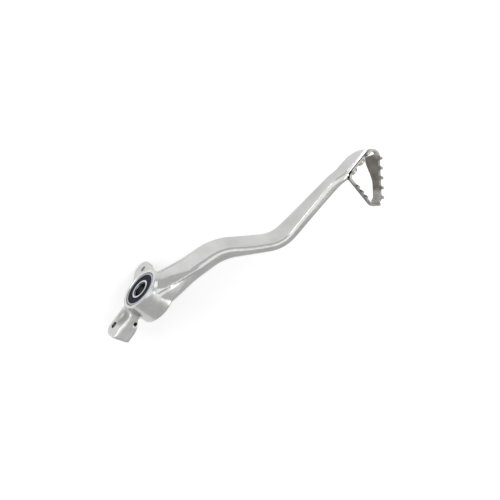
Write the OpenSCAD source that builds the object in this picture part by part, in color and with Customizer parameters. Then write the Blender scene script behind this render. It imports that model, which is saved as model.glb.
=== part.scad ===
// Rear brake pedal of an off-road motorbike, right-hand side.
// Origin: middle of the pivot bore. +X forwards, +Y inboard, +Z up. All sizes in millimetres.

/* [Pivot hub] */
// Wall of the hub outside the bearings
hub_wall = 3; // [2:0.1:6]
// How far each bearing lies behind its hub face
bearing_set_in = 0.4; // [0.2:0.1:1.5]
// Chamfer on the rims of the hub
hub_chamfer = 0.8; // [0.3:0.1:1.5]
// Height of the shoulder that the outer rings rest against
shoulder_h = 3; // [1.5:0.1:3.4]

/* [Bearings] */
// Bore of each bearing
bearing_bore = 12; // [10:0.5:12.5]
// Thickness of both bearing rings under their raceways
ring_wall = 2; // [1.6:0.05:2.6]
// Thickness of the shoulder that parts the two bearings
shoulder_w = 2.2; // [1.5:0.1:2.4]
// Number of balls in each bearing
ball_count = 7; // [5:1:8]
// Diameter of a ball
ball_d = 5.96; // [5.4:0.04:7]
// Running clearance between a ball and each raceway
ball_clearance = 0.02; // [0.01:0.01:0.05]
// How much rounder a raceway is than its ball
race_ease = 0.08; // [0.04:0.01:0.15]
// Depth of each ball raceway below the shoulders of its ring
groove_depth = 1.2; // [0.9:0.05:1.4]
// How far the inner ring steps down from its shoulder to the land under the seal lip
inner_land_drop = 0.75; // [0.4:0.05:0.9]
// How far the outer ring steps back from its shoulder to the seat of the seal
outer_land_drop = 1.1; // [0.6:0.05:1.3]
// Thickness of a rubber seal
seal_t = 1; // [0.6:0.1:1.2]
// How far a seal lies behind the bearing face
seal_recess = 0.3; // [0.1:0.05:0.5]
// Gap between the seal lip and the inner ring
seal_lip_gap = 0.06; // [0.03:0.01:0.12]
// Corner chamfer of the bearing rings
ring_chamfer = 0.6; // [0.3:0.1:0.9]
// Rim of the ball cage beside its pockets
cage_rim = 0.42; // [0.3:0.02:0.8]
// Gap between the ball cage and each seal
cage_end_gap = 0.2; // [0.1:0.05:0.5]
// Gap between the ball cage and the shoulders of both rings
cage_gap = 0.8; // [0.6:0.05:1]
// Gap round a ball in its cage pocket
pocket_gap = 0.1; // [0.05:0.01:0.12]

/* [Arm course] */
// How far outboard of the hub middle the arm starts
arm_start_out = 0.5; // [-2:0.5:3]
// Forward place of the first bend
bend_1_x = 66.5; // [55:0.5:75]
// Outboard place of the first bend
bend_1_out = 26.5; // [20:0.5:32]
// Height of the first bend
bend_1_z = 1; // [-4:0.5:6]
// Forward place of the second bend
bend_2_x = 104.5; // [98:0.5:116]
// Outboard place of the second bend
bend_2_out = 69; // [60:0.5:76]
// Height of the second bend
bend_2_z = 5.5; // [0:0.5:12]
// Length of the joggle between the arm and the pad
joggle_l = 10; // [8:0.5:14]
// Outboard shift of the pad at the joggle
joggle_out = 3.6; // [2:0.2:5]
// Forward place where the pad starts
pad_x = 187; // [176:1:196]
// Outboard place where the pad starts
pad_out = 78; // [73:0.5:84]
// Height of the middle of the pad
pad_z = 17; // [10:0.5:24]
// Length of the bends, from where a straight run ends to the corner of the course
bend_reach = 13; // [10:1:18]
// Length of the two small bends of the joggle
joggle_reach = 3.5; // [2:0.5:4]

/* [Arm sections] */
// Thickness of the arm where it leaves the hub
root_w = 17; // [14:0.5:20]
// Height of the arm where it leaves the hub
root_h = 36.8; // [30:0.2:37.2]
// Thickness of the arm at its neck
neck_w = 13.4; // [12:0.2:17]
// Height of the arm at its neck
neck_h = 26; // [24:0.5:31]
// Thickness of the arm at the first bend
waist_w = 12.4; // [10:0.2:15]
// Height of the arm at the first bend
waist_h = 22.6; // [20:0.2:26]
// Thickness of the arm between the bends
shin_w = 8.8; // [8:0.2:12]
// Height of the arm between the bends
shin_h = 24.6; // [20:0.2:27]
// Thickness of the arm at the second bend
knee_w = 8.6; // [8:0.2:12]
// Height of the arm at the second bend
knee_h = 23.4; // [19:0.2:26]
// Thickness of the arm before the pad
wrist_w = 10; // [9:0.2:12]
// Height of the arm before the pad
wrist_h = 15.6; // [13:0.2:18]
// Corner radius of the arm's section near the hub
root_corner_r = 4.6; // [3:0.1:6]
// Corner radius of the arm's section towards the tip
tip_corner_r = 3; // [2:0.1:3.8]
// Lean of the section where the arm leaves the hub, top edge outboard
root_lean = 3; // [0:1:12]
// Lean of the section in the middle of the arm, top edge outboard
arm_lean = 18; // [0:1:24]

/* [Pad] */
// Length of the pad at the tip
pad_l = 28.6; // [27:0.2:36]
// Height of the pad
pad_h = 18.6; // [17:0.2:21]
// Thickness of the forging at the pad before its seat is machined
pad_w = 8.4; // [7:0.2:9.4]
// Thickness that is left behind the seat of the step plate
blade_t = 4.8; // [4.6:0.1:6]
// Radius that rounds the underside of the pad up to its tip
nose_r = 17; // [12:0.5:18]
// Angle of the pad to the forward direction
pad_angle = 5.6; // [0:0.2:10]

/* [Push rod fork] */
// Distance of the fork pin behind the pivot
fork_back = 36; // [32:0.5:40]
// Depth of the fork pin below the pivot
fork_drop = 12; // [11:0.5:13]
// Distance from the pin to the rear end of the fork
fork_end = 9.6; // [8.5:0.2:12]
// Depth of the fork below its pin
fork_below = 8; // [7.5:0.1:9]
// Radius of the rounded rear corner of the fork
rear_corner_r = 12.8; // [10:0.2:14]
// Height of the flat top of the fork above the pivot
fork_top = 0; // [-1:0.5:1]
// How far the inboard cheek reaches inboard of the hub middle
fork_near = 5.6; // [5:0.2:7]
// How far the outboard cheek reaches outboard of the hub middle
fork_far = 9.4; // [9:0.2:11]
// Thickness of the outboard cheek
cheek_far_t = 4.2; // [3.6:0.1:5]
// Width of the slot for the push rod end
slot_w = 6.6; // [6:0.1:7.4]
// Thickness of the roof over the slot
roof_t = 3.6; // [3:0.2:4]
// Radius of the pocket for the push rod end round the pin
slot_r = 9; // [8.6:0.1:9.4]
// Diameter of the fork pin bore
fork_bore_d = 6; // [5:0.1:8]
// Half width of the neck between hub and fork, outboard of the hub middle
neck_far = 4.6; // [4:0.2:6]
// Depth of the scoop in the inboard side of the neck
scoop_depth = 2.8; // [1.5:0.1:3.5]
// Radius of the scoop
scoop_r = 6; // [5:0.2:7]
// How far the bevel above the inboard cheek reaches across its top
bevel_in = 1.3; // [0.6:0.1:1.6]
// Diameter of the small hole in the top of the fork
stop_hole_d = 3.3; // [2.5:0.1:4]
// Depth of the small hole in the top of the fork
stop_hole_depth = 7; // [4:0.5:9]
// Distance of the small hole in front of the fork pin
stop_hole_x = 10.4; // [10:0.2:12]
// Distance of the small hole from the outboard side of the fork
stop_hole_in = 4.6; // [4.4:0.1:5]

/* [Spring ear] */
// Forward place of the ear hole
ear_x = 16; // [14:0.2:18]
// Depth of the ear hole below the pivot
ear_drop = 22; // [21:0.2:24]
// Forward place of the middle of the ear's rounded end
ear_end_x = 14.5; // [12:0.5:17]
// Depth of the middle of the ear's rounded end
ear_end_drop = 25.5; // [24:0.5:28]
// Radius of the ear's rounded end
ear_r = 9.2; // [8.8:0.1:11]
// How far the web round the underside of the hub stands out from the hub
web_reach = 3; // [2:0.2:5]
// Thickness of the ear
ear_t = 7; // [5:0.5:9]
// How far the ear lies behind the inboard hub face
ear_set_back = 2.5; // [1:0.5:5]
// Diameter of the ear hole
ear_hole_d = 5; // [4:0.1:6]

/* [Step plate] */
// Thickness of the strip that the step is bent from
strip_t = 2.3; // [1.8:0.1:2.8]
// Length of the loop along the pad
loop_l = 38.6; // [38:0.2:44]
// Reach of the loop outboard of its seat
loop_out = 44; // [38:0.2:46]
// Outer bend radius at the rear corner of the loop
rear_r = 5; // [4.5:0.1:6]
// Outer bend radius at the front corner of the loop
front_r = 7.6; // [5:0.1:8.5]
// Outer bend radius at the outboard corner of the loop
apex_r = 8; // [6:0.1:9]
// Overhang of the loop behind the first screw
loop_back = 9.9; // [9.7:0.1:12]
// Height of the strip against the pad
base_h = 17; // [16:0.5:18]
// Height of the rear bar of the loop
rear_h = 3.6; // [3:0.1:5]
// Height of the strip at the outboard corner
apex_h = 10.5; // [8:0.5:12]
// Height of the strip at the start of its front side
front_h = 20; // [18:0.5:21]
// Height of the strip round the front corner, where it is slimmed for bending
corner_h = 5; // [4:0.5:8]
// How far the top of the strip stands above the middle of the pad
strip_rise = 9.3; // [8.5:0.1:11]
// Height of the front and outboard teeth
tooth_h = 3.8; // [2:0.1:5]
// Height of the teeth along the rear bar
rear_tooth_h = 3; // [1.6:0.1:4]
// Width of a tooth at its root
tooth_root = 3.6; // [3:0.1:5]
// Width of a tooth at its tip
tooth_tip = 2; // [1.2:0.1:2.8]
// Teeth along the front of the loop
front_teeth = 5; // [3:1:5]
// Spacing of the teeth along the front
front_pitch = 9; // [7.4:0.1:9.3]
// Place of the first front tooth behind the front corner
front_first = 1.4; // [1:0.1:5]
// Teeth along the rear bar
rear_teeth = 3; // [2:1:4]
// Spacing of the teeth along the rear bar
rear_pitch = 6.9; // [6:0.1:7.6]
// Angle of the tooth on the outboard corner, from straight outboard towards the rear
apex_tooth_angle = 17; // [0:1:30]

/* [Step screws] */
// Thread diameter of the step screws
screw_d = 5; // [4:0.1:5.4]
// Clearance round a screw in the strip
screw_clearance = 0.2; // [0.1:0.05:0.4]
// Diameter of a screw head
screw_head_d = 9; // [8.4:0.1:9.4]
// Height of a screw head
screw_head_h = 4; // [3:0.1:5]
// Distance between the two screws
screw_pitch = 11.6; // [11:0.1:13]
// Place of the first screw along the pad
first_screw_x = 8.2; // [7:0.1:9.5]
// Height of the screws above the middle of the pad
screw_rise = 2.3; // [0:0.1:3]
// Depth of the screw in the pad
screw_grip = 4; // [3.5:0.1:4.3]
// Size of the hexagon socket across its flats
socket_af = 3; // [2.5:0.1:4]
// Depth of the hexagon socket
socket_depth = 2.2; // [1.5:0.1:2.6]

/* [Hidden] */
$fn = 64;
eps = 0.01;

// Size of the bearings, and of the hub that holds them.
cage_w = ball_d + 2 * (pocket_gap + cage_rim);
bearing_w = cage_w + 2 * (cage_end_gap + seal_t + seal_recess);
bearing_d = bearing_bore + 2 * ball_d + 4 * (ring_wall + ball_clearance);
hub_r = bearing_d / 2 + hub_wall;
hub_w = shoulder_w + 2 * (bearing_w + bearing_set_in);
bearing_y = shoulder_w / 2;
web_r = hub_r + web_reach;

// Radii of the bearing, from the middle of its ring section outwards and inwards.
ball_r = ball_d / 2;
pitch_r = (bearing_bore + bearing_d) / 4;
inner_shoulder_r = pitch_r - ball_r + groove_depth;
inner_land_r = inner_shoulder_r - inner_land_drop;
outer_shoulder_r = pitch_r + ball_r - groove_depth;
outer_land_r = outer_shoulder_r + outer_land_drop;
cage_t = outer_shoulder_r - inner_shoulder_r - 2 * cage_gap;

// Course of the arm: corner points from the pivot to the tip.
pad_start = [pad_x, -pad_out, pad_z];
pad_end = pad_start + pad_l * [cos(pad_angle), -sin(pad_angle), 0];
course = [
    [0, -arm_start_out, 0],
    [bend_1_x, -bend_1_out, bend_1_z],
    [bend_2_x, -bend_2_out, bend_2_z],
    pad_start - [joggle_l, -joggle_out, 0],
    pad_start,
    pad_end
];
runs = len(course) - 1;
bend_steps = [0, 10, 10, 4, 4];
run_steps = [10, 4, 10, 2, 5];

// Rounding of the course: each corner becomes a smooth bend.
function unit(v) = v / norm(v);
function reach_at(i) = i > 2 ? joggle_reach : bend_reach;
function bend_in(i) = course[i] + unit(course[i - 1] - course[i]) * reach_at(i);
function bend_out(i) = course[i] + unit(course[i + 1] - course[i]) * reach_at(i);
function mix(a, b, t) = a * (1 - t) + b * t;
function bend_point(i, t) = mix(mix(bend_in(i), course[i], t), mix(course[i], bend_out(i), t), t);
function run_start(i) = i == 0 ? course[0] : bend_out(i);
function run_end(i) = i == runs - 1 ? course[runs] : bend_in(i + 1);
function run_points(i) = [for (k = [0:run_steps[i] - 1]) mix(run_start(i), run_end(i), k / run_steps[i])];
function bend_points(i) = [for (k = [0:bend_steps[i] - 1]) bend_point(i, k / bend_steps[i])];
spine = [
    for (i = [0:runs - 1]) each concat(run_points(i), i == runs - 1 ? [course[runs]] : bend_points(i + 1))
];
last = len(spine) - 1;
function tangent(i) = unit(spine[min(i + 1, last)] - spine[max(i - 1, 0)]);
function along(i) = i == 0 ? 0 : along(i - 1) + norm(spine[i] - spine[i - 1]);

// Stations along the arm, measured along the straight corners of the course.
station_root = hub_r * 0.6;
station_neck = 2 * hub_r;
station_waist = norm(course[1] - course[0]);
shin_l = norm(course[2] - course[1]);
station_shin = station_waist + shin_l * 0.45;
station_knee = station_waist + shin_l - bend_reach / 4;
station_wrist = station_knee + norm(course[3] - course[2]) - joggle_l / 2;
station_pad = station_wrist + joggle_l * 1.2;
station_tip = along(last);

thickness_at = [
    [station_root, root_w], [station_neck, neck_w], [station_waist, waist_w], [station_shin, shin_w],
    [station_knee, knee_w], [station_wrist, wrist_w], [station_pad, pad_w], [station_tip, pad_w]
];
height_at = [
    [station_root, root_h], [station_neck, neck_h], [station_waist, waist_h], [station_shin, shin_h],
    [station_knee, knee_h], [station_wrist, wrist_h], [station_pad, pad_h], [station_tip, pad_h]
];
lean_at = [
    [station_root, root_lean], [station_waist, arm_lean], [station_shin, arm_lean],
    [station_wrist, 0], [station_tip, 0]
];
corner_at = [
    [station_root, root_corner_r], [station_neck, root_corner_r], [station_knee, tip_corner_r],
    [station_tip, tip_corner_r]
];
soften = 5;
function soft(s, table) =
    (lookup(s - soften, table) + lookup(s - soften / 2, table) + lookup(s, table)
     + lookup(s + soften / 2, table) + lookup(s + soften, table)) / 5;

// One section of the arm: a rounded rectangle across the course, leaning outboard at its top.
corner_steps = 5;
function section(i) =
    let (
        s = along(i),
        t = tangent(i),
        level = unit(cross(t, [0, 0, 1])),
        rise = cross(level, t),
        lean = soft(s, lean_at),
        across = level * cos(lean) - rise * sin(lean),
        up = rise * cos(lean) + level * sin(lean),
        r = min(soft(s, corner_at), soft(s, thickness_at) / 2 - 0.3),
        w = soft(s, thickness_at) / 2 - r,
        h = soft(s, height_at) / 2 - r
    )
    [
        for (q = [0:3], k = [0:corner_steps])
            let (a = 90 * q + 90 * k / corner_steps)
            spine[i]
            + across * ((q == 0 || q == 3 ? w : -w) + r * cos(a))
            + up * ((q < 2 ? h : -h) + r * sin(a))
    ];

module arm() {
    ring = 4 * (corner_steps + 1);
    points = [for (i = [0:last]) each section(i)];
    sides = [
        for (i = [0:last - 1], k = [0:ring - 1])
            let (a = i * ring + k, b = i * ring + (k + 1) % ring)
            each [[a, b + ring, a + ring], [a, b, b + ring]]
    ];
    caps = [
        for (k = [1:ring - 2])
            each [[0, k + 1, k], [last * ring, last * ring + k, last * ring + k + 1]]
    ];
    polyhedron(points, concat(caps, sides), convexity = 6);
}

// A straight bar with its long axis along Y, from y0 to y1, centred on x and z.
module bar(x, z, d, y0, y1) {
    translate([x, y1, z]) rotate([90, 0, 0]) cylinder(d = d, h = y1 - y0);
}

// A flat tapering web between two rounded ends in the XZ plane, a little slimmer than the ends.
module web(p1, r1, p2, r2, y0, y1) {
    across = unit([p1[1] - p2[1], p2[0] - p1[0]]) * 0.97;
    translate([0, y1, 0]) rotate([90, 0, 0]) linear_extrude(y1 - y0) {
        translate(p2) circle(r2);
        polygon([p1 + across * r1, p1 - across * r1, p2 - across * r2, p2 + across * r2]);
    }
}

module hub_body() {
    rotate([90, 0, 0]) rotate_extrude() polygon([
        [0, -hub_w / 2], [hub_r - hub_chamfer, -hub_w / 2], [hub_r, -hub_w / 2 + hub_chamfer],
        [hub_r, hub_w / 2 - hub_chamfer], [hub_r - hub_chamfer, hub_w / 2], [0, hub_w / 2]
    ]);
}

// Plan of the block behind the pivot that takes the push rod: a neck that widens to the fork.
module fork_plan() {
    rear = -fork_back - fork_end;
    slant = 3.5;
    polygon([
        [0, fork_near], [rear + 1, fork_near], [rear, fork_near - 1],
        [rear + slant, -fork_far + 1], [rear + slant + 1, -fork_far],
        [-fork_back + 5, -fork_far], [-fork_back + 9, -fork_far + 1], [-hub_r - 2.4, -neck_far], [0, -neck_far]
    ]);
}

// Side view of the same block: flat on top, with its rear corner rounded below and round the pin.
module fork_side() {
    rear = -fork_back - fork_end;
    under = -fork_drop - fork_below;
    difference() {
        polygon([
            [0, fork_top], [rear + 2.6, fork_top], [rear + 0.8, fork_top - 0.9], [rear, fork_top - 2.8],
            [rear, under], [-hub_r * 0.8, under + 1.6], [0, under + 1.6]
        ]);
        translate([rear + rear_corner_r - 0.8, under + rear_corner_r - 0.8]) difference() {
            translate([-2 * rear_corner_r, -2 * rear_corner_r]) square(2 * rear_corner_r);
            circle(rear_corner_r);
        }
    }
}

module fork_body() {
    intersection() {
        translate([0, 0, -2 * hub_r]) linear_extrude(4 * hub_r) fork_plan();
        translate([0, hub_w, 0]) rotate([90, 0, 0]) linear_extrude(2 * hub_w) fork_side();
    }
}

// Slot for the push rod end, open below and behind, with a round seat in front of the pin.
module fork_slot() {
    near = -fork_far + cheek_far_t + slot_w;
    translate([0, near, 0]) rotate([90, 0, 0]) linear_extrude(slot_w) {
        translate([-fork_back, -fork_drop]) intersection() {
            circle(slot_r);
            translate([-2 * slot_r, -2 * slot_r]) square([4 * slot_r, 2 * slot_r + fork_drop - roof_t + fork_top]);
        }
        translate([-2 * fork_back, -2 * hub_r])
            square([fork_back, 2 * hub_r + fork_top - roof_t]);
        translate([-fork_back - eps, -2 * hub_r])
            square([slot_r * 0.8, 2 * hub_r - fork_drop]);
    }
}

// Scoop in the inboard side of the neck, and the bevel above the inboard cheek.
module fork_scoop() {
    stretch = 1.45;
    translate([-hub_r - stretch * scoop_r - 0.5, fork_near + scoop_r - scoop_depth, fork_top - fork_drop + 1])
        scale([stretch, 1, 1]) cylinder(r = scoop_r, h = 2 * hub_r);
    translate([-2 * fork_back, fork_near - bevel_in, fork_top]) rotate([-72, 0, 0])
        cube([2 * fork_back - hub_r - 0.5, 9, 9]);
}

// Ear for the return spring: a plate below the hub with a rounded end.
module ear_body() {
    front = hub_w / 2 - ear_set_back;
    web([0, 0], hub_r - 1, [ear_end_x, -ear_end_drop], ear_r, front - ear_t, front);
    intersection() {
        bar(0, 0, 2 * web_r, front - ear_t, front);
        translate([-web_r, 0, -2 * web_r]) cube([web_r + ear_end_x, hub_w, 2 * web_r - hub_r / 2]);
    }
}

// Places things in the frame of the pad: X along the pad, Y = 0 on the seat of the step plate.
seat_out = blade_t - pad_w / 2;
module on_pad() {
    translate(pad_start) rotate([0, 0, -pad_angle]) translate([0, -seat_out, 0]) children();
}

// Seat of the step plate, cut into the outboard side of the pad.
module pad_seat() {
    deep = 2 * pad_w;
    on_pad() translate([first_screw_x - loop_back, -deep, -pad_h]) cube([2 * pad_l, deep, 2 * pad_h]);
}

// Rounds the underside of the pad up to its tip.
module pad_nose() {
    on_pad() translate([pad_l - nose_r - 0.3, 2 * pad_w, pad_h / 2]) rotate([90, 0, 0]) linear_extrude(4 * pad_w)
        difference() {
            translate([0, -2 * pad_h]) square([2 * nose_r, 2 * pad_h + 1]);
            circle(nose_r);
        }
}

module screw_hole(x, d, depth) {
    on_pad() translate([x, depth, screw_rise]) rotate([90, 0, 0]) cylinder(d = d, h = depth + eps);
}

module lever() {
    color("silver") difference() {
        union() {
            hub_body();
            arm();
            fork_body();
            ear_body();
        }
        bar(0, 0, bearing_d, bearing_y, hub_w);
        bar(0, 0, bearing_d, -hub_w, -bearing_y);
        bar(0, 0, bearing_d - 2 * shoulder_h, -hub_w, hub_w);
        bar(-fork_back, -fork_drop, fork_bore_d, -hub_w, hub_w);
        bar(ear_x, -ear_drop, ear_hole_d, -hub_w, hub_w);
        translate([-fork_back + stop_hole_x, -fork_far + stop_hole_in, fork_top - stop_hole_depth])
            cylinder(d = stop_hole_d, h = hub_r);
        fork_slot();
        fork_scoop();
        pad_seat();
        pad_nose();
        screw_hole(first_screw_x, screw_d, screw_grip);
        screw_hole(first_screw_x + screw_pitch, screw_d, screw_grip);
    }
}

// Bearing parts, drawn with the bearing's outer face at y = bearing_w and its back face at y = 0.
module spin() {
    rotate([-90, 0, 0]) rotate_extrude() children();
}

module outer_ring() {
    r = bearing_d / 2;
    land = outer_land_r;
    step = seal_recess + seal_t;
    groove_r = ball_r + race_ease / 2;
    c = ring_chamfer;
    spin() difference() {
        polygon([
            [land, 0], [r - c, 0], [r, c], [r, bearing_w - c], [r - c, bearing_w], [land, bearing_w],
            [land, bearing_w - step], [outer_shoulder_r, bearing_w - step],
            [outer_shoulder_r, step], [land, step]
        ]);
        translate([pitch_r + ball_r + ball_clearance - groove_r, bearing_w / 2]) circle(groove_r);
    }
}

module inner_ring() {
    r = bearing_bore / 2;
    land = inner_land_r;
    step = seal_recess + seal_t + seal_lip_gap * 3;
    groove_r = ball_r + race_ease / 2;
    c = ring_chamfer;
    spin() difference() {
        polygon([
            [r + c, 0], [land, 0], [land, step], [inner_shoulder_r, step],
            [inner_shoulder_r, bearing_w - step], [land, bearing_w - step],
            [land, bearing_w], [r + c, bearing_w], [r, bearing_w - c], [r, c]
        ]);
        translate([pitch_r - ball_r - ball_clearance + groove_r, bearing_w / 2]) circle(groove_r);
    }
}

module each_ball() {
    for (i = [0:ball_count - 1])
        rotate([0, 360 * i / ball_count, 0]) translate([pitch_r, bearing_w / 2, 0]) children();
}

module cage() {
    difference() {
        spin() translate([pitch_r - cage_t / 2, (bearing_w - cage_w) / 2]) square([cage_t, cage_w]);
        each_ball() rotate([0, 90, 0]) cylinder(d = ball_d + 2 * pocket_gap, h = 2 * cage_t, center = true);
    }
}

module balls() {
    each_ball() sphere(d = ball_d);
}

// Rubber seal: a ring pressed into the outer ring, with a shallow moulded groove in its face.
module seal(y_face, out) {
    lip = inner_land_r + seal_lip_gap;
    rim = outer_land_r;
    groove = (rim - lip) * 0.3;
    spin() difference() {
        translate([lip, out > 0 ? y_face - seal_t : y_face]) square([rim - lip, seal_t]);
        translate([lip + groove, y_face]) circle(seal_t / 4);
        translate([rim - groove / 2, y_face]) circle(seal_t / 4);
    }
}

// The inboard bearing faces +Y and the outboard one is its mirror image.
module inboard() {
    translate([0, bearing_y, 0]) children();
}

module outboard() {
    mirror([0, 1, 0]) inboard() children();
}

module bearing_spacer() {
    color("gainsboro") spin() translate([bearing_bore / 2, -shoulder_w / 2])
        square([inner_land_r - bearing_bore / 2, shoulder_w]);
}

// Step plate: a strip bent into a three-cornered loop, seen from above in the frame of the pad.
loop_x0 = first_screw_x - loop_back;
loop_corners = [
    [loop_x0 + rear_r, -rear_r],
    [loop_x0 + loop_l - front_r, -front_r],
    [loop_x0 + apex_r, -loop_out + apex_r]
];
loop_radii = [rear_r, front_r, apex_r];
strip_top = strip_rise;

// Outward direction of the straight side from corner i to the next one.
function side_out(i) =
    let (
        d = loop_corners[(i + 1) % 3] - loop_corners[i],
        share = (loop_radii[i] - loop_radii[(i + 1) % 3]) / norm(d),
        u = d / norm(d),
        left = [-u[1], u[0]]
    )
    u * share + left * sqrt(1 - share * share);

module loop_outline(inset) {
    for (i = [0:2]) translate(loop_corners[i]) circle(loop_radii[i] - inset);
    polygon([
        for (i = [0:2])
            let (n = side_out(i), k = (i + 1) % 3)
            each [loop_corners[i] + n * (loop_radii[i] - inset), loop_corners[k] + n * (loop_radii[k] - inset)]
    ]);
}

module loop_ring(z0, z1) {
    translate([0, 0, z0]) linear_extrude(z1 - z0) difference() {
        loop_outline(0);
        loop_outline(strip_t);
    }
}

front_out = side_out(1);
front_start = loop_corners[1] + front_out * front_r;
front_end = loop_corners[2] + front_out * apex_r;
front_len = norm(front_end - front_start);
front_angle = atan2(front_end[1] - front_start[1], front_end[0] - front_start[0]);

// Cuts the underside of the front of the strip: slim round the corner, deep behind it, then a long curve.
module front_underside() {
    steps = 10;
    flare = 6;
    start_s = -front_r * 0.4;
    translate([front_start[0], front_start[1], strip_top])
        rotate([0, 0, front_angle]) translate([0, 2 * front_r, 0]) rotate([90, 0, 0])
            linear_extrude(4 * front_r) polygon(concat(
                [[-3 * front_r, -3 * base_h], [-3 * front_r, -corner_h]],
                [
                    for (k = [0:steps])
                        let (t = k / steps, fall = (1 - cos(180 * t)) / 2)
                        [start_s + flare * t, -corner_h - (front_h - corner_h) * fall]
                ],
                [
                    for (k = [1:steps])
                        let (t = k / steps, fall = (1 + cos(180 * min(1, 1.45 * t))) / 2, s0 = start_s + flare)
                        [s0 + (front_len - s0) * t, -apex_h - (front_h - apex_h) * fall]
                ],
                [[front_len + 3 * apex_r, -apex_h], [front_len + 3 * apex_r, -3 * base_h]]
            ));
}

// Cuts the rear side of the strip down to a slim bar, from the pad to the middle of the outboard corner.
module rear_underside() {
    y_in = -strip_t;
    y_out = -loop_out + apex_r * 0.75;
    translate([loop_x0 - eps, 0, strip_top]) rotate([90, 0, 90])
        linear_extrude(apex_r * 0.9) polygon([
            [y_in, -3 * base_h], [y_in, -base_h * 0.6], [y_in - rear_r * 0.5, -rear_h],
            [y_out, -rear_h], [-loop_out + strip_t, -apex_h * 0.8], [-loop_out - eps, -apex_h],
            [-loop_out - eps, -3 * base_h]
        ]);
}

// Leaves the height of the strip against the pad, with its front end slimmed for the corner.
module base_underside() {
    end_x = loop_x0 + loop_l - front_r;
    translate([0, 0, strip_top]) rotate([90, 0, 0]) linear_extrude(strip_t + eps) polygon([
        [loop_x0 - eps, -4 * base_h], [loop_x0 - eps, -base_h * 0.6], [loop_x0 + rear_r * 0.8, -base_h],
        [end_x - 7, -base_h], [end_x - 2, -corner_h - 2], [end_x, -corner_h],
        [end_x + 2 * front_r, -corner_h], [end_x + 2 * front_r, -4 * base_h]
    ]);
}

// A block in the shape of a tooth, centred on a side of the strip, that runs across the strip.
module tooth_block(h) {
    foot = 1;
    translate([0, 2 * strip_t, 0]) rotate([90, 0, 0]) linear_extrude(3 * strip_t) polygon([
        [-tooth_root / 2, -foot], [tooth_root / 2, -foot], [tooth_root / 2, 0],
        [tooth_tip / 2, h], [-tooth_tip / 2, h], [-tooth_root / 2, 0]
    ]);
}

module tooth_blocks() {
    for (i = [0:front_teeth - 1])
        translate([front_start[0], front_start[1], strip_top]) rotate([0, 0, front_angle])
            translate([front_first + i * front_pitch, 0, 0]) mirror([0, 1, 0]) tooth_block(tooth_h);
    first = (loop_out - rear_r - apex_r - (rear_teeth - 1) * rear_pitch) / 2;
    for (i = [0:rear_teeth - 1])
        translate([loop_x0, -rear_r - first - i * rear_pitch, strip_top]) rotate([0, 0, -90]) tooth_block(rear_tooth_h);
    translate([loop_corners[2][0], loop_corners[2][1], strip_top]) rotate([0, 0, -apex_tooth_angle])
        translate([0, -apex_r, 0]) tooth_block(tooth_h);
}

module tooth_row() {
    intersection() {
        loop_ring(strip_top - 1, strip_top + tooth_h + rear_tooth_h);
        tooth_blocks();
    }
}

module step_plate() {
    tall = max(base_h, front_h);
    color("dimgray") on_pad() difference() {
        union() {
            difference() {
                loop_ring(strip_top - tall, strip_top);
                front_underside();
                rear_underside();
                base_underside();
            }
            tooth_row();
        }
        for (x = [first_screw_x, first_screw_x + screw_pitch])
            translate([x, eps, screw_rise]) rotate([90, 0, 0])
                cylinder(d = screw_d + 2 * screw_clearance, h = strip_t + 2 * eps);
    }
}

// Round-headed socket screw, its head resting on the outboard face of the strip.
module step_screw(x) {
    r = screw_head_d / 2;
    crown = screw_head_h * 0.45;
    on_pad() translate([x, -strip_t, screw_rise]) rotate([90, 0, 0]) difference() {
        rotate_extrude() union() {
            translate([0, -strip_t - screw_grip + 0.3]) square([screw_d / 2, strip_t + screw_grip]);
            square([r, screw_head_h - crown]);
            intersection() {
                translate([0, screw_head_h - crown]) scale([1, crown / r]) circle(r);
                translate([0, screw_head_h - crown - eps]) square([r, crown + eps]);
            }
        }
        translate([0, 0, screw_head_h - socket_depth])
            cylinder(d = socket_af / cos(30), h = socket_depth + eps, $fn = 6);
    }
}

module inboard_outer_ring() {
    color("lightgray") inboard() outer_ring();
}

module inboard_inner_ring() {
    color("lightgray") inboard() inner_ring();
}

module inboard_cage() {
    color("ivory") inboard() cage();
}

module inboard_balls() {
    color("whitesmoke") inboard() balls();
}

module inboard_front_seal() {
    color("midnightblue") inboard() seal(bearing_w - seal_recess, 1);
}

module inboard_back_seal() {
    color("midnightblue") inboard() seal(seal_recess, -1);
}

module outboard_outer_ring() {
    color("lightgray") outboard() outer_ring();
}

module outboard_inner_ring() {
    color("lightgray") outboard() inner_ring();
}

module outboard_cage() {
    color("ivory") outboard() cage();
}

module outboard_balls() {
    color("whitesmoke") outboard() balls();
}

module outboard_front_seal() {
    color("midnightblue") outboard() seal(bearing_w - seal_recess, 1);
}

module outboard_back_seal() {
    color("midnightblue") outboard() seal(seal_recess, -1);
}

module front_step_screw() {
    color("gainsboro") step_screw(first_screw_x + screw_pitch);
}

module rear_step_screw() {
    color("gainsboro") step_screw(first_screw_x);
}

lever();
inboard_outer_ring();
inboard_inner_ring();
inboard_cage();
inboard_balls();
inboard_front_seal();
inboard_back_seal();
outboard_outer_ring();
outboard_inner_ring();
outboard_cage();
outboard_balls();
outboard_front_seal();
outboard_back_seal();
bearing_spacer();
step_plate();
front_step_screw();
rear_step_screw();
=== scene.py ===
import math

import bmesh
import bpy
import numpy as np
from mathutils import Matrix, Vector


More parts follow.
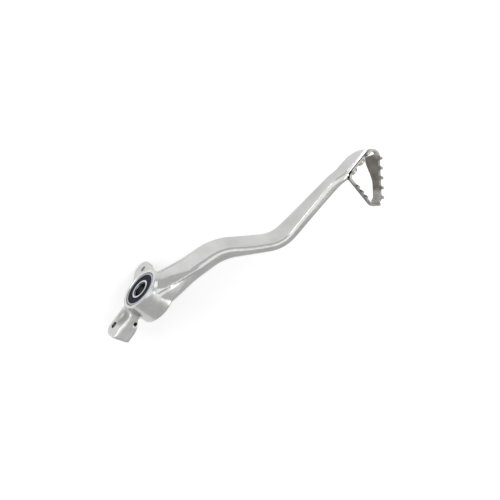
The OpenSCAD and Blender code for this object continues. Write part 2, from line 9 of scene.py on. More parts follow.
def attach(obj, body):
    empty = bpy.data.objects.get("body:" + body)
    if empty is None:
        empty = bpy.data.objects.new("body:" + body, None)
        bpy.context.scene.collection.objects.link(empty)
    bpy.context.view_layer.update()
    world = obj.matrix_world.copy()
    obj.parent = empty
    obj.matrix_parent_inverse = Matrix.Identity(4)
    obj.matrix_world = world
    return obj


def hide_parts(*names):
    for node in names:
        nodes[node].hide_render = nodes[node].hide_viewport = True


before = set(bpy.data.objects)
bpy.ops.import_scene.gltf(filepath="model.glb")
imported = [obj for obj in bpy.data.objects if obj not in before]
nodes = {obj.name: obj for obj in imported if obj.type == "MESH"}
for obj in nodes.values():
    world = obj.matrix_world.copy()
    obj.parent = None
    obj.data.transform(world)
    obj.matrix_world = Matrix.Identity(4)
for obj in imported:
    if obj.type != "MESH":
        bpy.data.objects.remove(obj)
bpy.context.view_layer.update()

scene = bpy.context.scene
scene.view_settings.view_transform = "Standard"

MM = 0.001
UP = Vector((0, 0, 1))

# Camera
CAMERA_AT = Vector((-17.67, 280.09, 573.72))
CAMERA_TARGET = Vector((83.49, -53.80, 0))
CAMERA_ROLL = math.radians(110.222)
LENS = 55.111
SENSOR = 36
CLIP_METRES = (0.01, 30)


def make_camera():
    data = bpy.data.cameras.new("camera")
    data.sensor_width = SENSOR
    data.lens = LENS
    data.clip_start, data.clip_end = CLIP_METRES
    camera = bpy.data.objects.new("camera", data)
    scene.collection.objects.link(camera)
    aim = (CAMERA_TARGET - CAMERA_AT).to_track_quat("-Z", "Y").to_matrix().to_4x4()
    roll = Matrix.Rotation(CAMERA_ROLL, 4, "Z")
    camera.matrix_world = Matrix.Translation(CAMERA_AT * MM) @ aim @ roll
    scene.camera = camera


# Node helpers
SPOT_CORE = 0.55


def rgba(colour):
    """A colour or a grey as four numbers."""
    return (*colour, 1) if isinstance(colour, tuple) else (colour, colour, colour, 1)


class Nodes:
    """A small builder for the node tree of a material or a world."""

    def __init__(self, owner, output="ShaderNodeOutputMaterial"):
        owner.use_nodes = True
        self.owner = owner
        self.tree = owner.node_tree
        self.tree.nodes.clear()
        self.out = self.add(output)

    def add(self, kind, **values):
        node = self.tree.nodes.new(kind)
        for key, value in values.items():
            setattr(node, key, value)
        return node

    def link(self, source, target):
        self.tree.links.new(source, target)

    def place(self):
        return self.add("ShaderNodeTexCoord").outputs["Object"]

    def axes(self):
        """The object place in millimetres, as x, y and z values."""
        node = self.add("ShaderNodeSeparateXYZ")
        self.link(self.place(), node.inputs[0])
        return [self.math("MULTIPLY", value, 1 / MM) for value in node.outputs]

    def noise(self, scale, detail=3.0, rough=0.5, stretch=(1, 1, 1)):
        """Noise by object place, scale in features per millimetre."""
        node = self.add("ShaderNodeTexNoise")
        node.inputs["Scale"].default_value = 1.0
        node.inputs["Detail"].default_value = detail
        node.inputs["Roughness"].default_value = rough
        mapping = self.add("ShaderNodeMapping")
        mapping.inputs["Scale"].default_value = tuple(scale / MM * share for share in stretch)
        self.link(self.place(), mapping.inputs["Vector"])
        self.link(mapping.outputs["Vector"], node.inputs["Vector"])
        return node.outputs["Fac"]

    def ramp(self, value, stops):
        node = self.add("ShaderNodeValToRGB")
        elements = node.color_ramp.elements
        while len(elements) < len(stops):
            elements.new(0.5)
        for element, (position, colour) in zip(elements, stops):
            element.position = position
            element.color = rgba(colour)
        self.link(value, node.inputs["Fac"])
        return node.outputs["Color"]

    def math(self, operation, *values):
        node = self.add("ShaderNodeMath", operation=operation)
        for socket, value in zip(node.inputs, values):
            if isinstance(value, (int, float)):
                socket.default_value = value
            else:
                self.link(value, socket)
        return node.outputs[0]

    def blend(self, share, low, high):
        """From low to high by share, where a number or a tuple is a colour that is the same all over."""
        node = self.add("ShaderNodeMix", data_type="RGBA")
        sockets = {socket.name: socket for socket in node.inputs if socket.enabled}
        self.link(share, sockets["Factor"])
        for name, value in (("A", low), ("B", high)):
            if isinstance(value, (tuple, float)):
                sockets[name].default_value = rgba(value)
            else:
                self.link(value, sockets[name])
        return [socket for socket in node.outputs if socket.enabled][0]

    def bump(self, height, distance, strength, normal=None):
        node = self.add("ShaderNodeBump")
        node.inputs["Distance"].default_value = distance * MM
        node.inputs["Strength"].default_value = strength
        self.link(height, node.inputs["Height"])
        if normal is not None:
            self.link(normal, node.inputs["Normal"])
        return node.outputs["Normal"]

    def ao_openness(self, reach, low, high):
        """Ambient occlusion, used to paint shade into crevices: nothing in deep crevices, one on open
        ground, from what lies within reach.
        """
        node = self.add("ShaderNodeAmbientOcclusion", samples=8)
        node.inputs["Distance"].default_value = reach * MM
        return self.ramp(node.outputs["AO"], [(low, 0.0), (high, 1.0)])

    def edges(self, low, high):
        """Nothing below the pointiness low, one above high: 0.5 is flat, and outer edges have more."""
        pointiness = self.add("ShaderNodeNewGeometry").outputs["Pointiness"]
        return self.ramp(pointiness, [(low, 0.0), (high, 1.0)])

    def distance(self, axes, middle):
        """Distance from a point, along as many axes as are given."""
        total = None
        for value, at in zip(axes, middle):
            square = self.math("POWER", self.math("SUBTRACT", value, at), 2)
            total = square if total is None else self.math("ADD", total, square)
        return self.math("SQRT", total)

    def pivot_radius(self, axes):
        return self.distance((axes[0], axes[2]), (0, 0))

    def between(self, value, low, high):
        """How far value is from low to high, as a share."""
        return self.math("DIVIDE", self.math("SUBTRACT", value, low), high - low)

    def spot(self, axes, middle, reach):
        """One at a point, fading to nothing at a distance of reach from it."""
        near = self.between(self.distance(axes, middle), 0, reach)
        return self.ramp(near, [(SPOT_CORE, 1.0), (1.0, 0.0)])

    def turning(self, radius, pitch):
        """The fine rings that a lathe leaves about the pivot."""
        return self.math("SINE", self.math("MULTIPLY", radius, 2 * math.pi / pitch))

    def shader(self, **inputs):
        node = self.add("ShaderNodeBsdfPrincipled")
        for key, value in inputs.items():
            socket = node.inputs[key.replace("_", " ")]
            if isinstance(value, float):
                socket.default_value = value
            else:
                self.link(value, socket)
        self.link(node.outputs[0], self.out.inputs["Surface"])


def material(name):
    return Nodes(bpy.data.materials.new(name))


# Sizes of the hub, as in the CAD
HUB_FACE = 11.5
BORE_R = 16.0
SHOULDER_R = 13.0
SHOULDER_Y = 1.1

# Forged aluminium
TURNED_FACE_R = 19.4
TURNED_BORE_R = BORE_R + 0.3
TURNED_FACE_Y = HUB_FACE - 0.06
TURNING_PITCH = 0.45
# the forging's skin is left grainy beside the hub and in the hollow of the fork's neck, and shade is
# painted darker into that hollow
ROOT_SKIN = ((31, -5, -8), 15)
NECK_SHADED_HOLLOW = ((-26.5, 5.0, -7.5), 9.5)


def forged_aluminium():
    n = material("forged_aluminium")
    axes = n.axes()
    radius = n.pivot_radius(axes)
    on_face = n.math("GREATER_THAN", n.math("ABSOLUTE", axes[1]), TURNED_FACE_Y)
    near_hub = n.math("LESS_THAN", radius, TURNED_FACE_R)
    in_bore = n.math("LESS_THAN", radius, TURNED_BORE_R)
    turned = n.math("MAXIMUM", n.math("MULTIPLY", on_face, near_hub), in_bore)
    forged = n.math("SUBTRACT", 1.0, turned)

    cloud = n.noise(0.06)
    wave = n.noise(0.11, 2, 0.45, stretch=(0.35, 1, 1))
    grain = n.noise(1.6, 3, 0.6)
    brush = n.noise(0.9, 4, 0.65, stretch=(0.12, 0.5, 1.4))
    pits = n.noise(0.55, 2)
    root = n.spot(axes, *ROOT_SKIN)
    hollow = n.spot(axes, *NECK_SHADED_HOLLOW)
    edge = n.edges(0.50, 0.56)

    colour = n.ramp(cloud, [(0.3, (0.56, 0.565, 0.555)), (0.7, (0.64, 0.645, 0.64))])
    # painted shade: the hollow of the fork's neck is darkened where shade falls in it
    colour = n.blend(n.math("MULTIPLY", hollow, 0.8), colour, (0.33, 0.33, 0.325))
    # painted highlight: convex edges are painted paler
    colour = n.blend(edge, colour, (0.78, 0.78, 0.77))
    # painted shade: concave creases are painted darker
    colour = n.blend(n.edges(0.42, 0.49), (0.46, 0.46, 0.45), colour)
    # painted shade: crevices are darkened by ambient occlusion
    colour = n.blend(n.ao_openness(3.0, 0.30, 0.75), 0.26, colour)

    rough = n.ramp(brush, [(0.3, 0.19), (0.7, 0.29)])
    rough = n.blend(n.math("MAXIMUM", root, hollow), rough, 0.50)
    rough = n.blend(edge, rough, 0.18)
    rough = n.blend(turned, rough, 0.28)

    normal = n.bump(cloud, 0.30, 0.5)
    normal = n.bump(n.math("MULTIPLY", wave, forged), 0.45, 0.7, normal)
    normal = n.bump(pits, 0.030, 0.5, normal)
    normal = n.bump(grain, 0.010, 0.6, normal)
    normal = n.bump(n.math("MULTIPLY", grain, root), 0.03, 0.7, normal)
    normal = n.bump(brush, 0.018, 0.7, normal)
    lathe = n.math("MULTIPLY", n.turning(radius, TURNING_PITCH), turned)
    normal = n.bump(lathe, 0.006, 0.6, normal)
    n.shader(Base_Color=colour, Metallic=1.0, Roughness=rough, Normal=normal)
    return n.owner


# Bearing and zinc steel
WIDEST_R = 20.0
# how bright a ring is by radius: shade painted into its bore and its lead-in, the bare rim, and a
# painted shadow line at the edge of its seat
RING_SHADE_BANDS = (
    (0.0, 0.55), (6.03, 0.55), (6.15, 0.0), (7.0, 0.0), (7.2, 1.0), (15.35, 1.0), (15.55, 0.0),
)
OUTER_RING = ((12.4, 0.0), (12.8, 1.0))


def by_radius(n, radius, tones):
    return n.ramp(n.between(radius, 0, WIDEST_R), [(r / WIDEST_R, tone) for r, tone in tones])


def ground_steel(name, colour, rough, pitch, bands):
    """Bright turned or ground steel, with fine rings about the pivot."""
    n = material(name)
    radius = n.pivot_radius(n.axes())
    smear = n.noise(0.25, 3, 0.6)
    tint = n.ramp(smear, [(0.35, tuple(0.9 * part for part in colour)), (0.65, colour)])
    if bands:
        # painted shade in the ring's bore and lead-in, and a painted shadow line at the edge of its seat
        tint = n.blend(by_radius(n, radius, RING_SHADE_BANDS), (0.07, 0.07, 0.08), tint)
        outer = n.math("MULTIPLY", by_radius(n, radius, OUTER_RING), 0.6)
        tint = n.blend(outer, tint, (0.20, 0.21, 0.26))
    gloss = n.ramp(smear, [(0.3, rough * 0.8), (0.7, rough * 1.3)])
    normal = n.bump(n.turning(radius, pitch), 0.003, 0.5)
    normal = n.bump(n.noise(3.0, 2), 0.004, 0.5, normal)
    n.shader(Base_Color=tint, Metallic=1.0, Roughness=gloss, Normal=normal)
    return n.owner


# Balls, cages and seals
def ball_steel():
    n = material("ball_steel")
    film = n.noise(0.5, 2)
    tint = n.ramp(film, [(0.3, (0.72, 0.73, 0.75)), (0.7, (0.8, 0.8, 0.81))])
    gloss = n.ramp(film, [(0.3, 0.05), (0.7, 0.12)])
    n.shader(Base_Color=tint, Metallic=1.0, Roughness=gloss)
    return n.owner


def cage_polymer():
    n = material("cage_polymer")
    mottle = n.noise(0.4)
    tint = n.ramp(mottle, [(0.3, (0.62, 0.57, 0.42)), (0.7, (0.72, 0.67, 0.52))])
    gloss = n.ramp(mottle, [(0.3, 0.38), (0.7, 0.5)])
    n.shader(Base_Color=tint, Roughness=gloss, Normal=n.bump(n.noise(2.0, 2), 0.01, 0.5))
    return n.owner


# where the seal's relief starts and ends, and its height by shares of the way
SEAL_INNER_R = 8.5
SEAL_OUTER_R = 13.9
SEAL_RELIEF = ((0.0, 0.3), (0.12, 1.0), (0.3, 0.6), (0.7, 0.6), (0.88, 1.0), (1.0, 0.4))


def seal_rubber():
    n = material("seal_rubber")
    radius = n.pivot_radius(n.axes())
    film = n.noise(0.35, 4, 0.6)
    dust = n.noise(2.2, 2, 0.6)
    tint = n.ramp(film, [(0.35, (0.005, 0.005, 0.015)), (0.7, (0.012, 0.012, 0.032))])
    tint = n.blend(n.ramp(dust, [(0.62, 0.0), (0.75, 0.5)]), tint, (0.035, 0.035, 0.055))
    gloss = n.ramp(film, [(0.3, 0.42), (0.7, 0.6)])
    relief = n.ramp(n.between(radius, SEAL_INNER_R, SEAL_OUTER_R), SEAL_RELIEF)
    normal = n.bump(relief, 0.25, 0.6)
    normal = n.bump(dust, 0.008, 0.6, normal)
    n.shader(Base_Color=tint, Roughness=gloss, Normal=normal, Specular_IOR_Level=0.12)
    return n.owner


# Dark steel
# the corners of the loop are made paler metal
PALE_CORNERS = (((222, -86, 24), 10), ((190, -119, 22), 11))
# across the strip's top, from the open loop to the pad
LOOP_Y = -100
PAD_Y = -80


def dark_steel():
    n = material("dark_steel")
    axes = n.axes()
    cloud = n.noise(0.11, 3, 0.55)
    blast = n.noise(2.6, 3, 0.65)
    rolled = n.noise(0.5, 4, 0.6, stretch=(1, 1, 0.15))

    tint = n.ramp(cloud, [(0.3, (0.110, 0.100, 0.090)), (0.7, (0.215, 0.198, 0.178))])
    tint = n.blend(n.ramp(blast, [(0.45, 0.0), (0.7, 0.35)]), tint, (0.30, 0.285, 0.265))
    # painted highlight: convex edges are painted paler
    tint = n.blend(n.math("MULTIPLY", n.edges(0.51, 0.57), 0.85), tint, (0.62, 0.61, 0.59))
    corner_paleness = n.math("MAXIMUM", *[n.spot(axes, *corner) for corner in PALE_CORNERS])
    corner_paleness = n.math("MULTIPLY", corner_paleness, n.ramp(cloud, [(0.3, 0.5), (0.6, 1.0)]))
    # the corners of the loop are painted paler
    tint = n.blend(n.math("MULTIPLY", corner_paleness, 0.7), tint, (0.50, 0.50, 0.47))

    # painted highlight: the tops of the strip are painted paler where light falls on them from above,
    # most of all along the pad
    facing = n.add("ShaderNodeSeparateXYZ")
    n.link(n.add("ShaderNodeNewGeometry").outputs["Normal"], facing.inputs[0])
    top = n.ramp(facing.outputs["Z"], [(0.80, 0.0), (0.95, 1.0)])
    by_pad = n.ramp(n.between(axes[1], LOOP_Y, PAD_Y), [(0.55, 0.35), (0.85, 1.0)])
    top = n.math("MULTIPLY", n.math("MULTIPLY", top, by_pad), 0.85)
    # painted highlight on the upward-facing tops of the strip
    tint = n.blend(top, tint, (0.62, 0.61, 0.58))
    # painted shade: crevices are darkened by ambient occlusion
    tint = n.blend(n.ao_openness(3.0, 0.30, 0.75), (0.03, 0.028, 0.026), tint)

    gloss = n.ramp(rolled, [(0.3, 0.36), (0.7, 0.50)])
    normal = n.bump(blast, 0.022, 0.6)
    normal = n.bump(rolled, 0.02, 0.4, normal)
    n.shader(Base_Color=tint, Metallic=0.85, Roughness=gloss, Normal=normal)
    return n.owner


# Screws
def screw_steel():
    n = material("screw_steel")
    film = n.noise(0.45, 3, 0.55)
    tint = n.ramp(film, [(0.3, (0.56, 0.55, 0.47)), (0.7, (0.70, 0.69, 0.62))])
    gloss = n.ramp(film, [(0.3, 0.2), (0.7, 0.32)])
    normal = n.bump(n.noise(2.8, 2), 0.006, 0.5)
    n.shader(Base_Color=tint, Metallic=1.0, Roughness=gloss, Normal=normal)
    return n.owner


# Floor
FLOOR_Z = -37.0
FLOOR_HALF = 6000
FLOOR_GREY = 0.84
# the light of its own that the camera sees in the floor, near the pedal and far off
OWN_NEAR, OWN_FAR = 0.32, 0.60
# the light of its own that the metal sees in the floor, patchy as in a room
OWN_DARK, OWN_PALE = 0.10, 0.26
PEDAL_MIDDLE = (90, -40)


def floor_material():
    n = material("floor")
    path = n.add("ShaderNodeLightPath")
    # far from the pedal, where the lamps fade, the floor is kept as pale as the backdrop
    metres = n.math("MULTIPLY", n.distance(n.axes()[:2], PEDAL_MIDDLE), MM)
    own = n.ramp(metres, [(0.30, OWN_NEAR), (0.95, OWN_FAR)])
    to_camera = n.math("MULTIPLY", path.outputs["Is Camera Ray"], own)
    patches = n.ramp(n.noise(0.016, 2), [(0.38, OWN_DARK), (0.62, OWN_PALE)])
    mirrored = n.math("MAXIMUM", path.outputs["Is Glossy Ray"], path.outputs["Is Transmission Ray"])
    to_metal = n.math("MULTIPLY", mirrored, patches)
    glow = n.add("ShaderNodeEmission")
    n.link(n.math("MAXIMUM", to_camera, to_metal), glow.inputs["Strength"])
    matt = n.add("ShaderNodeBsdfDiffuse")
    matt.inputs["Color"].default_value = rgba(FLOOR_GREY)
    both = n.add("ShaderNodeAddShader")
    n.link(matt.outputs[0], both.inputs[0])
    n.link(glow.outputs[0], both.inputs[1])
    n.link(both.outputs[0], n.out.inputs["Surface"])
    return n.owner


def make_floor():
    mesh = bpy.data.meshes.new("floor")
    corners = [(x * FLOOR_HALF * MM, y * FLOOR_HALF * MM, FLOOR_Z * MM)
               for x, y in ((-1, -1), (1, -1), (1, 1), (-1, 1))]
    mesh.from_pydata(corners, [], [(0, 1, 2, 3)])
    floor = bpy.data.objects.new("floor", mesh)
    scene.collection.objects.link(floor)
    mesh.materials.append(floor_material())


# Light
MIDDLE = (0.09, -0.04, 0)
# name, place, target, width and height in metres, and power in watts
LAMPS = (
    ("key", (-0.1, 1.0, 0.62), MIDDLE, (1.1, 0.5), 4.5),
    ("top", (0.2, 0.1, 1.5), MIDDLE, (1.4, 1.4), 4.0),
    ("front", (1.3, -0.4, 0.7), MIDDLE, (0.8, 0.8), 2.0),
    ("back", (0.60, -0.88, 1.18), (0.17, -0.085, 0.03), (0.26, 0.50), 0.95),
)
STUDIO_GREY = 0.8
# the studio is a little paler on the inboard side than behind the pedal
STUDIO_FADE = {"From Min": -0.8, "From Max": 0.8, "To Min": 0.74, "To Max": 0.80}


def soft_light(name, place, target, size, power):
    data = bpy.data.lights.new(name, "AREA")
    data.shape = "RECTANGLE"
    data.size, data.size_y = size
    data.energy = power
    light = bpy.data.objects.new(name, data)
    scene.collection.objects.link(light)
    light.location = place
    light.rotation_euler = (Vector(target) - Vector(place)).to_track_quat("-Z", "Y").to_euler()


def make_world():
    """A pale studio for the light and the metal, and plain white for the camera."""
    scene.world = bpy.data.worlds.new("world")
    n = Nodes(scene.world, "ShaderNodeOutputWorld")
    side = n.add("ShaderNodeSeparateXYZ")
    n.link(n.add("ShaderNodeTexCoord").outputs["Generated"], side.inputs[0])
    fade = n.add("ShaderNodeMapRange", interpolation_type="SMOOTHSTEP")
    for name, value in STUDIO_FADE.items():
        fade.inputs[name].default_value = value
    n.link(side.outputs["Y"], fade.inputs["Value"])
    studio = n.add("ShaderNodeBackground")
    studio.inputs["Color"].default_value = rgba(STUDIO_GREY)
    n.link(fade.outputs["Result"], studio.inputs["Strength"])
    white = n.add("ShaderNodeBackground")
    white.inputs["Color"].default_value = rgba(1.0)
    pick = n.add("ShaderNodeMixShader")
    n.link(n.add("ShaderNodeLightPath").outputs["Is Camera Ray"], pick.inputs["Fac"])
    n.link(studio.outputs[0], pick.inputs[1])
    n.link(white.outputs[0], pick.inputs[2])
    n.link(pick.outputs[0], n.out.inputs["Surface"])


# Mesh tools
WELD_GAP = 0.002
# how far a point moves towards its neighbours' middle in one round of smoothing
PULL = 0.5
DRUM_STEPS = 128
BAR_STEPS = 64


def new_object(name, mesh):
    obj = bpy.data.objects.new(name, mesh)
    scene.collection.objects.link(obj)
    return obj


def settle(obj):
    """Applies the modifiers of obj."""
    deps = bpy.context.evaluated_depsgraph_get()
    mesh = bpy.data.meshes.new_from_object(obj.evaluated_get(deps))
    obj.modifiers.clear()
    old = obj.data
    obj.data = mesh
    bpy.data.meshes.remove(old)


def as_object(bm, name, matrix=None):
    if matrix is not None:
        bm.transform(matrix)
    mesh = bpy.data.meshes.new(name)
    bm.to_mesh(mesh)
    bm.free()
    return new_object(name, mesh)


def loft(rings):
    """A closed solid through rings of points, all with the same count."""
    bm = bmesh.new()
    rings = [[bm.verts.new(point) for point in ring] for ring in rings]
    count = len(rings[0])
    for a, b in zip(rings, rings[1:]):
        for k in range(count):
            j = (k + 1) % count
            bm.faces.new((a[k], a[j], b[j], b[k]))
    bm.faces.new(rings[0])
    bm.faces.new(list(reversed(rings[-1])))
    bmesh.ops.recalc_face_normals(bm, faces=bm.faces)
    return bm


def drum(profile, steps=DRUM_STEPS):
    """A turned cutter or plug about the Y axis, from (radius, y) points."""
    turns = [2 * math.pi * k / steps for k in range(steps)]
    return loft([[(r * math.cos(a), y, r * math.sin(a)) for a in turns] for r, y in profile])


def y_bar(at, r, low, high):
    """A round bar along Y, at an (x, z) place."""
    bar = drum([(r, low), (r, high)], BAR_STEPS)
    return as_object(bar, "bar", Matrix.Translation((at[0], 0, at[1])))


def hull_of(points, name):
    """The convex hull of some points."""
    bm = bmesh.new()
    for point in points:
        bm.verts.new(point)
    hull = bmesh.ops.convex_hull(bm, input=bm.verts)
    inside = [v for v in hull["geom_interior"] if isinstance(v, bmesh.types.BMVert)]
    bmesh.ops.delete(bm, geom=inside, context="VERTS")
    bmesh.ops.recalc_face_normals(bm, faces=bm.faces)
    return as_object(bm, name)


def combine(obj, other, operation):
    modifier = obj.modifiers.new(operation, "BOOLEAN")
    modifier.object = other
    modifier.operation = operation
    modifier.solver = "MANIFOLD"
    settle(obj)
    bpy.data.objects.remove(other)


def copy_of(node, name):
    """A welded copy of a CAD node's mesh, in millimetres, with the world place in its points."""
    mesh = nodes[node].data.copy()
    mesh.transform(nodes[node].matrix_world)
    mesh.transform(Matrix.Scale(1 / MM, 4))
    mesh.materials.clear()
    bm = bmesh.new()
    bm.from_mesh(mesh)
    bmesh.ops.remove_doubles(bm, verts=bm.verts, dist=WELD_GAP)
    bm.to_mesh(mesh)
    bm.free()
    return new_object(name, mesh)


def voxel(obj, size):
    modifier = obj.modifiers.new("voxel", "REMESH")
    modifier.mode = "VOXEL"
    modifier.voxel_size = size
    settle(obj)


def relax(obj, weight, rounds):
    """Weighted Laplacian smoothing, which rounds edges and fills inner corners as forging does."""
    mesh = obj.data
    count = len(mesh.vertices)
    points = np.empty(count * 3)
    mesh.vertices.foreach_get("co", points)
    points = points.reshape(-1, 3)
    edges = np.empty(len(mesh.edges) * 2, dtype=np.int64)
    mesh.edges.foreach_get("vertices", edges)
    edges = edges.reshape(-1, 2)
    degree = np.bincount(edges.ravel(), minlength=count)[:, None]
    share = weight(points)[:, None] * PULL
    for _ in range(rounds):
        total = np.zeros_like(points)
        for k in range(3):
            total[:, k] = (np.bincount(edges[:, 0], points[edges[:, 1], k], count)
                           + np.bincount(edges[:, 1], points[edges[:, 0], k], count))
        points += share * (total / degree - points)
    mesh.vertices.foreach_set("co", points.ravel())
    mesh.update()


def finish_mesh(obj, sharp_angle):
    """Puts a piece into metres, smooth but for edges sharper than an angle in degrees."""
    obj.data.transform(Matrix.Scale(MM, 4))
    obj.data.shade_smooth()
    obj.data.set_sharp_from_angle(angle=math.radians(sharp_angle))
    obj.data.update()


# The pad's own frame: along it, across it from the strip's seat, and up
PAD_AT = Vector((187.0, -78.0, 17.0))
PAD_TURN = math.radians(-5.6)
SEAT_OUT = 0.6
PAD_TOP = 8.7


def pad_matrix():
    turn = Matrix.Rotation(PAD_TURN, 4, "Z")
    return Matrix.Translation(PAD_AT) @ turn @ Matrix.Translation((0, -SEAT_OUT, 0))


def on_pad_box(along, across, up):
    """A box in the frame of the pad, from three (low, high) pairs."""
    bm = bmesh.new()
    bmesh.ops.create_cube(bm, size=1)
    for v in bm.verts:
        v.co = Vector(pair[c > 0] for c, pair in zip(v.co, (along, across, up)))
    return as_object(bm, "cutter", pad_matrix())


# The root of the arm
ARM_START = Vector((0, -0.5, 0))
ARM_ALONG = Vector((66.5, -26.0, 1.0)).normalized()
# station along the arm, width, height, lean in degrees, and how far the ridge is set outboard
ROOT_SECTIONS = (
    (-3, 17.0, 36.6, 3.0, 1.0),
    (11.4, 17.0, 36.6, 3.2, 1.7),
    (24, 15.4, 31.4, 6.2, 2.6),
    (36, 13.5, 26.6, 9.2, 3.4),
    (52, 12.8, 24.4, 13.0, 4.3),
)
RIDGE_SINK = 0.05
# past the hub the flat runs on to a lower corner, just under the arm's inboard side
LOW_FROM = 20
LOW_RISE = 8
LOW_SINK = 0.1
LAST_LOW_SINK = 0.3
# the flat starts from an arc at the rim of the hub, which drops outboard as it turns up
RIM_R = 18.8
RIM_TURNS = range(26, 75, 4)
RIM_SINK = 1.4
RIM_SLOPE = 1 / 30


def root_gusset():
    """The flat inboard side of the arm's root, from the hub's rim to the first bend, with its ridge."""
    level = ARM_ALONG.cross(UP).normalized()
    points = []
    for station, width, height, lean, outboard in ROOT_SECTIONS:
        lean = math.radians(lean)
        middle = ARM_START + ARM_ALONG * station
        inboard = UP * math.sin(lean) - level * math.cos(lean)
        up = UP * math.cos(lean) + level * math.sin(lean)
        points.append(middle + inboard * (width / 2 - outboard) + up * (height / 2 - RIDGE_SINK))
        points.append(middle)
        if station > LOW_FROM:
            sink = LAST_LOW_SINK if station == ROOT_SECTIONS[-1][0] else LOW_SINK
            points.append(middle + inboard * (width / 2 - sink) - up * (height / 2 - LOW_RISE))
    for degrees in RIM_TURNS:
        a = math.radians(degrees)
        drop = RIM_SINK + degrees * RIM_SLOPE
        points.append((RIM_R * math.cos(a), HUB_FACE - drop, RIM_R * math.sin(a)))
    return hull_of(points, "gusset")


# The fork's neck: its inboard side is a plane that narrows towards the hub
NECK_BACK_Y = 2.3
NECK_FRONT = ((-20.5, 2.9), (-37.5, 5.2))
NECK_Z = (-15.5, -0.6)


def cheek_fill():
    points = [(x, y, z) for x, front in NECK_FRONT for y in (front, NECK_BACK_Y) for z in NECK_Z]
    return hull_of(points, "cheek")


# The lever: what is filled before the forging is smoothed, and what is cut after
PIN = (-36.0, -12.0)
PIN_R = 3.0
EAR_HOLE = (16.0, -22.0)
EAR_HOLE_R = 2.5
PLUG_R = 18.5
PLUG_PROUD = 0.6
HOLE_PLUGS = ((PIN, PIN_R + 0.6, -9.2, 5.4), (EAR_HOLE, EAR_HOLE_R + 0.5, 2.1, 8.9))
HOLES = ((PIN, PIN_R, -14, 14), (EAR_HOLE, EAR_HOLE_R, -2, 14))
PAD_FILL = ((3, 27.2), (0.3, 4.7), (1, 9.2))
PAD_TOP_CUT = ((-0.5, 40), (-2, 12), (PAD_TOP, 20))
# the relief in the pad's top along the strip that is screwed to it
PAD_RELIEF = ((0.8, 40), (-2, 1.9), (PAD_TOP - 4.2, 20))
# side and radius: on the outboard side the arm stands out close to the hub, so its cutter is smaller
FACINGS = ((-1, 17.9), (1, 24))
FACING_DEEP = 6
# the bore's lead-in, which starts just past the face, and the bore's cut beyond it
LEAD_IN = 0.4
PAST_FACE = 0.05
CUT_BEYOND = 2
BORE_STEPS = 192
SHOULDER_CUT_Y = 5
LEVER_VOXEL = 0.62
LEVER_ROUNDS = 14
LEVER_SHARP = 38


def filled_lever():
    lever = copy_of("lever", "forged_lever")
    combine(lever, root_gusset(), "UNION")
    combine(lever, cheek_fill(), "UNION")
    combine(lever, on_pad_box(*PAD_FILL), "UNION")
    plug = drum([(PLUG_R, -HUB_FACE), (PLUG_R, HUB_FACE + PLUG_PROUD)])
    combine(lever, as_object(plug, "plug"), "UNION")
    for bar in HOLE_PLUGS:
        combine(lever, y_bar(*bar), "UNION")
    return lever


# How much of the smoothing each part of the forging takes
FACE_R = 18.9
FACE_DEEP = 1.0
FACE_WEIGHT = 0.2
PAD_FROM = -1
PAD_WEIGHT = 0.3
RIDGE_WEIGHT = 0.35
RIDGE_X = (-4, 50)
RIDGE_FLOOR = 6
# the ridge's zone lies inboard of a line that runs outboard with the arm
RIDGE_LINE = (-2, -0.39)
# the inner corner between the hub's rim and the arm's flat is smoothed further
CORNER = (16.5, 5.5, 11.0)
CORNER_FULL = 4.2
CORNER_FADE = 7
CORNER_ROUNDS = 24


def forging_weight(points):
    x, y, z = points.T
    weight = np.ones(len(points))
    weight[(np.hypot(x, z) < FACE_R) & (np.abs(y) > HUB_FACE - FACE_DEEP)] = FACE_WEIGHT
    local = (points - np.array(PAD_AT)) @ np.array(Matrix.Rotation(PAD_TURN, 3, "Z"))
    weight[local[:, 0] > PAD_FROM] = PAD_WEIGHT
    inboard = y > RIDGE_LINE[0] + RIDGE_LINE[1] * x
    ridge = (x > RIDGE_X[0]) & (x < RIDGE_X[1]) & inboard & (z > RIDGE_FLOOR)
    weight[ridge] = np.minimum(weight[ridge], RIDGE_WEIGHT)
    return weight


def corner_weight(points):
    away = np.linalg.norm(points - np.array(CORNER), axis=1)
    near = np.clip((CORNER_FULL + CORNER_FADE - away) / CORNER_FADE, 0, 1)
    return near * forging_weight(points)


def machine(lever):
    """The turned faces, bores and holes, and the milled pad."""
    for side, wide in FACINGS:
        face = drum([(wide, side * HUB_FACE), (wide, side * (HUB_FACE + FACING_DEEP))])
        combine(lever, as_object(face, "facing"), "DIFFERENCE")
        mouth = HUB_FACE + PAST_FACE
        bore = drum([
            (BORE_R, side * SHOULDER_Y), (BORE_R, side * (mouth - LEAD_IN)),
            (BORE_R + LEAD_IN, side * mouth), (BORE_R + LEAD_IN, side * (HUB_FACE + CUT_BEYOND)),
        ], BORE_STEPS)
        combine(lever, as_object(bore, "bore"), "DIFFERENCE")
    shoulder = drum([(SHOULDER_R, -SHOULDER_CUT_Y), (SHOULDER_R, SHOULDER_CUT_Y)])
    combine(lever, as_object(shoulder, "shoulder"), "DIFFERENCE")
    for bar in HOLES:
        combine(lever, y_bar(*bar), "DIFFERENCE")
    combine(lever, on_pad_box(*PAD_TOP_CUT), "DIFFERENCE")
    combine(lever, on_pad_box(*PAD_RELIEF), "DIFFERENCE")


def build_lever():
    lever = filled_lever()
    voxel(lever, LEVER_VOXEL)
    relax(lever, forging_weight, LEVER_ROUNDS)
    relax(lever, corner_weight, CORNER_ROUNDS)
    machine(lever)
    finish_mesh(lever, LEVER_SHARP)
    return lever


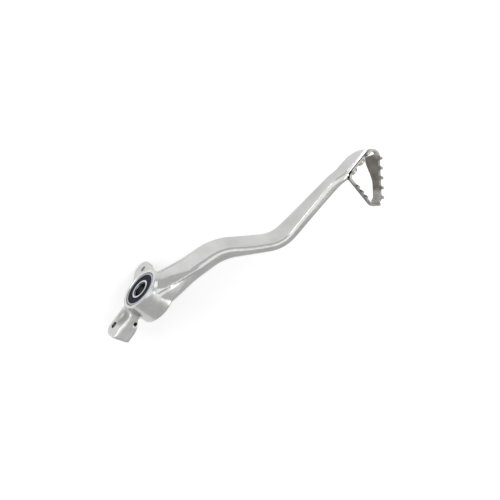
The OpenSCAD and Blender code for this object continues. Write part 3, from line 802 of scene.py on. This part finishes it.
# The step: its strip is cut down beside the screws
STRIP_TOP = 9.3
DIP_DEEP = 2.3
DIP_RIM = 0.2
DIP_ABOVE = 2
DIP_MOUTH = (3.5, 27)
DIP_FLOOR = (6, 24)
DIP_ACROSS = (-2.9, 1)
STRIP_VOXEL = 0.34
STRIP_ROUNDS = 4
STRIP_SHARP = 60


def strip_dip():
    low, rim, above = STRIP_TOP - DIP_DEEP, STRIP_TOP + DIP_RIM, STRIP_TOP + DIP_ABOVE
    outline = [
        (DIP_MOUTH[0], above), (DIP_MOUTH[0], rim), (DIP_FLOOR[0], low),
        (DIP_FLOOR[1], low), (DIP_MOUTH[1], rim), (DIP_MOUTH[1], above),
    ]
    return as_object(loft([[(x, y, z) for x, z in outline] for y in DIP_ACROSS]), "dip", pad_matrix())


def build_step():
    step = copy_of("step_plate", "step_strip")
    combine(step, strip_dip(), "DIFFERENCE")
    voxel(step, STRIP_VOXEL)
    relax(step, lambda points: np.ones(len(points)), STRIP_ROUNDS)
    finish_mesh(step, STRIP_SHARP)
    return step


def give_material(piece, finish):
    """Gives a piece one material."""
    piece.data.materials.clear()
    piece.data.materials.append(finish)


def finish_nodes():
    """Gives the CAD's other pieces their materials, by the ends of their names."""
    finishes = {
        "ring": ground_steel("bearing_steel", (0.70, 0.71, 0.74), 0.2, pitch=0.3, bands=True),
        "balls": ball_steel(),
        "cage": cage_polymer(),
        "seal": seal_rubber(),
        "spacer": ground_steel("zinc_steel", (0.62, 0.63, 0.65), 0.3, pitch=0.5, bands=False),
        "screw": screw_steel(),
    }
    for name, node in nodes.items():
        for ending, finish in finishes.items():
            if name.endswith(ending):
                for slot in node.material_slots:
                    slot.material = finish


def main():
    make_camera()
    make_floor()
    for lamp in LAMPS:
        soft_light(*lamp)
    make_world()

    lever = build_lever()
    give_material(lever, forged_aluminium())
    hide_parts("lever")
    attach(lever, "pedal")

    step = build_step()
    give_material(step, dark_steel())
    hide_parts("step_plate")
    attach(step, "pedal")

    finish_nodes()


main()
